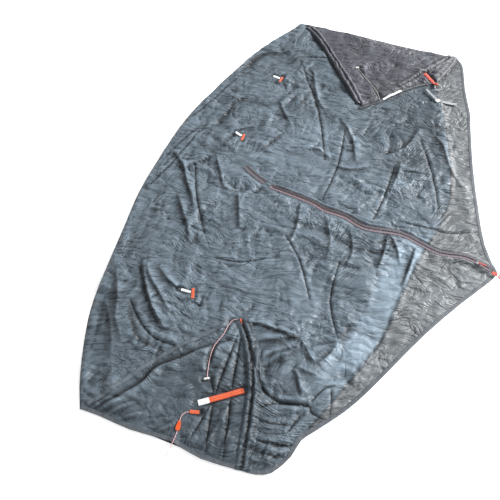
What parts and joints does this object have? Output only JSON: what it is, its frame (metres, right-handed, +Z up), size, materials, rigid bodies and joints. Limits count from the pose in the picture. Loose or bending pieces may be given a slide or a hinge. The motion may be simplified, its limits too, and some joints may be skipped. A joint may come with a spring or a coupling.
{
  "type": "tent rainfly",
  "caption": "Lightweight tent rainfly of thin crinkled nylon, spread on the floor, with a zipped door, tie-outs, webbing and cords.",
  "frame": {"origin": "on the floor, under the middle of the spread cloth's box without its free cords", "axes": "+Z up from the floor; +Y from the foot end to the folded-over head end; +X towards the door's tip"},
  "size_m": [1.6091, 2.2958, 0.0383],
  "materials": {
    "canopy_cloth": "thin coated nylon, crinkled, slight silk sheen, translucent dark grey",
    "rear_cloth": "the same thin coated nylon, inner side",
    "seam_tape": "doubled and stitched cloth, nearly black",
    "orange_webbing": "flat woven webbing, bright orange",
    "red_webbing": "flat woven webbing, red-orange",
    "reflective": "white reflective tape, fine beaded surface",
    "zipper_tape": "woven zipper tape, dusty red",
    "zipper_coil": "nylon coil, dark",
    "steel": "bright plated metal",
    "pale_plastic": "moulded plastic, off-white",
    "orange_plastic": "moulded plastic, orange",
    "ladder_webbing": "ribbed ladder webbing, light grey",
    "pale_cord": "thin braided cord, pale pink with a red fleck",
    "grey_cord": "thin braided cord, pale grey-beige"
  },
  "bodies": {
    "root": {"rear_wall_panel": "rear_cloth", "rear_wall_hem": "seam_tape", "canopy_panel": "canopy_cloth", "foot_end_panel": "canopy_cloth", "canopy_hem": "seam_tape", "foot_end_hem": "seam_tape", "foot_felled_seam": "seam_tape", "foot_gather_seam": "canopy_cloth", "zipper_end_patch": "zipper_tape", "tie_out_tab_a": "orange_webbing", "tie_out_tab_b": "orange_webbing", "tie_out_tab_c": "orange_webbing", "foot_tab": "orange_webbing", "foot_corner_tab": "orange_webbing", "foot_tieback_cord": "pale_cord", "foot_toggle": "pale_plastic", "foot_guy_cord": "pale_cord", "head_corner_cord": "grey_cord"},
    "door_head": {"door_panel_head": "canopy_cloth", "door_hem_head": "seam_tape", "zipper_tape_head": "zipper_tape", "zipper_coil_head": "zipper_coil"},
    "door_foot": {"door_panel_foot": "canopy_cloth", "door_hem_foot": "seam_tape", "zipper_tape_foot": "zipper_tape", "zipper_coil_foot": "zipper_coil", "tip_tab": "red_webbing"},
    "zipper_slider": {"zipper_slider": "steel"},
    "zipper_pull": {"zipper_pull": "red_webbing"},
    "stake_loop": {"stake_loop": "red_webbing"},
    "head_flap": {"head_flap_panel": "canopy_cloth", "head_seam_roll": "canopy_cloth", "head_flap_hem": "seam_tape", "head_reflective_strip": "reflective", "head_side_hem": "seam_tape", "corner_tab": "red_webbing", "head_tieback_cord": "grey_cord", "head_toggle": "pale_plastic"},
    "corner_ring": {"corner_ring": "steel"},
    "ladder_strap": {"ladder_strap": "ladder_webbing", "ladder_buckle": "pale_plastic"},
    "strap_tail": {"strap_tail": "ladder_webbing"},
    "foot_strap": {"foot_strap": "orange_webbing", "foot_strap_end": "reflective"},
    "guy_tensioner": {"guy_tensioner": "orange_plastic"},
    "tie_out_loop_a": {"tie_out_loop_a": "reflective"},
    "tie_out_loop_b": {"tie_out_loop_b": "reflective"},
    "tie_out_loop_c": {"tie_out_loop_c": "reflective"}
  },
  "joints": [
    {"name": "door_head_fold", "type": "hinge", "parent": "root", "child": "door_head", "pos_m": [-0.185, -0.02, 0.009], "axis": [-0.9256, -0.3784, 0], "range_deg": [0, 120]},
    {"name": "door_foot_fold", "type": "hinge", "parent": "root", "child": "door_foot", "pos_m": [-0.19, -0.04, 0.009], "axis": [0.1201, -0.9928, 0], "range_deg": [0, 120]},
    {"name": "zipper_slide", "type": "slide", "parent": "door_foot", "child": "zipper_slider", "axis": [-0.8889, 0.458, 0], "range_m": [0, 0.7696]},
    {"name": "zipper_pull_hinge", "type": "hinge", "parent": "zipper_slider", "child": "zipper_pull", "pos_m": [0.5556, -0.4311, 0.0178], "axis": [-0.458, -0.8889, 0], "range_deg": [0, 170]},
    {"name": "stake_loop_hinge", "type": "hinge", "parent": "door_foot", "child": "stake_loop", "pos_m": [0.6158, -0.48, 0.007], "axis": [-0.493, -0.87, 0], "range_deg": [0, 120]},
    {"name": "head_flap_fold", "type": "hinge", "parent": "root", "child": "head_flap", "pos_m": [0.04, 1.148, 0.0093], "axis": [-0.9178, 0.3971, 0], "range_deg": [0, 160]},
    {"name": "corner_ring_hinge", "type": "hinge", "parent": "head_flap", "child": "corner_ring", "pos_m": [0.618, 0.598, 0.023], "axis": [-0.9428, -0.3333, 0], "range_deg": [0, 140]},
    {"name": "ladder_strap_hinge", "type": "hinge", "parent": "head_flap", "child": "ladder_strap", "pos_m": [0.567, 0.572, 0.0154], "axis": [-0.9216, -0.3881, 0], "range_deg": [0, 135]},
    {"name": "strap_tail_hinge", "type": "hinge", "parent": "ladder_strap", "child": "strap_tail", "pos_m": [0.6185, 0.4795, 0.0151], "axis": [-0.3253, -0.9456, 0], "range_deg": [0, 100]},
    {"name": "foot_strap_hinge", "type": "hinge", "parent": "root", "child": "foot_strap", "pos_m": [-0.268, -0.905, 0.0103], "axis": [-0.2822, 0.9594, 0], "range_deg": [0, 110]},
    {"name": "guy_tensioner_slide", "type": "slide", "parent": "root", "child": "guy_tensioner", "axis": [-0.1771, -0.9842, 0], "range_m": [-0.005, 0.005]},
    {"name": "tie_out_loop_a_hinge", "type": "hinge", "parent": "root", "child": "tie_out_loop_a", "pos_m": [-0.11255, 0.66194, 0.01295], "axis": [0.5878, 0.809, 0], "range_deg": [0, 130]},
    {"name": "tie_out_loop_b_hinge", "type": "hinge", "parent": "root", "child": "tie_out_loop_b", "pos_m": [-0.28874, 0.25274, 0.01295], "axis": [0.7071, 0.7071, 0], "range_deg": [0, 130]},
    {"name": "tie_out_loop_c_hinge", "type": "hinge", "parent": "root", "child": "tie_out_loop_c", "pos_m": [-0.45525, -0.55091, 0.01295], "axis": [0.342, 0.9397, 0], "range_deg": [0, 130]}
  ]
}
